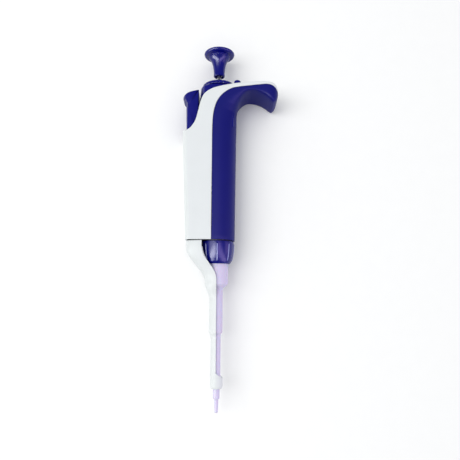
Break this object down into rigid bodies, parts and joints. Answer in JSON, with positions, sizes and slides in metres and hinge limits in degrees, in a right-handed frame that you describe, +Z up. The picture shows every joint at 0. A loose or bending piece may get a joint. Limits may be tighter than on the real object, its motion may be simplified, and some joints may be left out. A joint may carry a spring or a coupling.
{
  "type": "single-channel pipette",
  "caption": "Adjustable single-channel air-displacement pipette lying on its side, with a hooked grip, thumb button, volume dial and counter, tip ejector and narrow nozzle.",
  "frame": {"origin": "middle of the bounding box's underside, on the surface the pipette lies on", "axes": "+Y along the plunger axis from the nozzle end to the thumb button, +X from the rear window to the finger hook, +Z up out of the flank"},
  "size_m": [0.0636, 0.2374, 0.025],
  "materials": {
    "blue_gloss": "deep blue, moulded, glossy",
    "blue_grip": "deep blue, soft-touch satin",
    "white_shell": "white, fine satin",
    "white_arm": "white, fine satin",
    "lavender_shaft": "pale lavender, moulded, semi-gloss",
    "white_acetal": "natural white acetal",
    "black_plastic": "black, fine satin",
    "number_drum": "black with white figures",
    "clear_window": "clear moulded window",
    "steel": "ground bright steel",
    "spring_wire": "drawn spring wire",
    "brass": "turned brass",
    "rubber": "black, moulded"
  },
  "bodies": {
    "handle": {"front_grip": "blue_grip", "rear_cover": "white_shell", "top_collar": "blue_gloss", "calibration_cover": "blue_gloss", "window_lens": "clear_window", "base_plate": "black_plastic", "shaft_adapter": "black_plastic", "counter_frame": "black_plastic", "lead_nut": "brass", "pinion_axle": "steel", "frame_screw_upper": "steel", "frame_screw_lower": "steel", "shaft": "lavender_shaft", "shaft_o_ring": "rubber", "piston_seal": "white_acetal", "seal_o_ring": "rubber", "seal_retainer": "white_acetal", "primary_spring": "spring_wire", "blowout_spring": "spring_wire", "ejector_spring": "spring_wire"},
    "coupling_nut": {"coupling_nut": "blue_gloss"},
    "blowout_stop": {"stop_sleeve": "white_acetal"},
    "plunger": {"plunger_button": "blue_gloss", "button_cap": "blue_gloss", "push_rod": "steel", "rod_collar": "white_acetal", "piston_head": "white_acetal", "piston": "steel"},
    "dial": {"thumbwheel": "blue_gloss", "wheel_sleeve": "white_acetal", "drive_gear": "white_acetal"},
    "spindle": {"volume_spindle": "brass", "stop_washer": "steel"},
    "counter": {"counter_axle": "steel", "counter_gear": "white_acetal", "drum_tenths": "number_drum"},
    "units_drum": {"drum_units": "number_drum"},
    "tens_drum": {"drum_tens": "number_drum"},
    "lower_pinion": {"carry_pinion_lower": "white_acetal"},
    "upper_pinion": {"carry_pinion_upper": "white_acetal"},
    "ejector": {"ejector_button": "blue_gloss", "ejector_rod": "steel", "ejector_foot": "white_acetal", "ejector_arm": "white_arm"}
  },
  "joints": [
    {"name": "nut_turn", "type": "hinge", "parent": "handle", "child": "coupling_nut", "pos_m": [-0.00779, 0, 0.0125], "axis": [0, 1, 0], "range_deg": [0, 360]},
    {"name": "blowout_slide", "type": "slide", "parent": "handle", "child": "blowout_stop", "axis": [0, -1, 0], "range_m": [0, 0.003], "stiffness_N_per_m": 1500, "springref_m": -0.003, "deforming": ["blowout_spring"]},
    {"name": "plunger_slide", "type": "slide", "parent": "blowout_stop", "child": "plunger", "axis": [0, -1, 0], "range_m": [0, 0.01], "stiffness_N_per_m": 250, "springref_m": -0.008, "deforming": ["primary_spring"]},
    {"name": "dial_turn", "type": "hinge", "parent": "handle", "child": "dial", "pos_m": [-0.00779, 0, 0.0125], "axis": [0, -1, 0], "range_deg": [0, 2398]},
    {"name": "spindle_slide", "type": "slide", "parent": "dial", "child": "spindle", "axis": [0, -1, 0], "range_m": [0, 0.01]},
    {"name": "counter_turn", "type": "hinge", "parent": "handle", "child": "counter", "pos_m": [-0.01989, 0, 0.0125], "axis": [0, -1, 0], "range_deg": [-3600, 0]},
    {"name": "units_turn", "type": "hinge", "parent": "handle", "child": "units_drum", "pos_m": [-0.01989, 0, 0.0125], "axis": [0, -1, 0], "range_deg": [-360, 0]},
    {"name": "tens_turn", "type": "hinge", "parent": "handle", "child": "tens_drum", "pos_m": [-0.01989, 0, 0.0125], "axis": [0, -1, 0], "range_deg": [-36, 0]},
    {"name": "lower_pinion_turn", "type": "hinge", "parent": "handle", "child": "lower_pinion", "pos_m": [-0.01989, 0, 0.0044], "axis": [0, -1, 0], "range_deg": [0, 1080]},
    {"name": "upper_pinion_turn", "type": "hinge", "parent": "handle", "child": "upper_pinion", "pos_m": [-0.01989, 0, 0.0044], "axis": [0, -1, 0], "range_deg": [0, 108]},
    {"name": "ejector_slide", "type": "slide", "parent": "handle", "child": "ejector", "axis": [0, -1, 0], "range_m": [0, 0.009], "stiffness_N_per_m": 400, "springref_m": -0.006, "deforming": ["ejector_spring"]}
  ],
  "couplings": [
    {"joint": "spindle_slide", "follows": "dial_turn", "m_per_rad": 0.00023873},
    {"joint": "counter_turn", "follows": "dial_turn", "ratio": -1.5},
    {"joint": "units_turn", "follows": "dial_turn", "ratio": -0.15},
    {"joint": "tens_turn", "follows": "dial_turn", "ratio": -0.015},
    {"joint": "lower_pinion_turn", "follows": "dial_turn", "ratio": 0.45},
    {"joint": "upper_pinion_turn", "follows": "dial_turn", "ratio": 0.045}
  ]
}
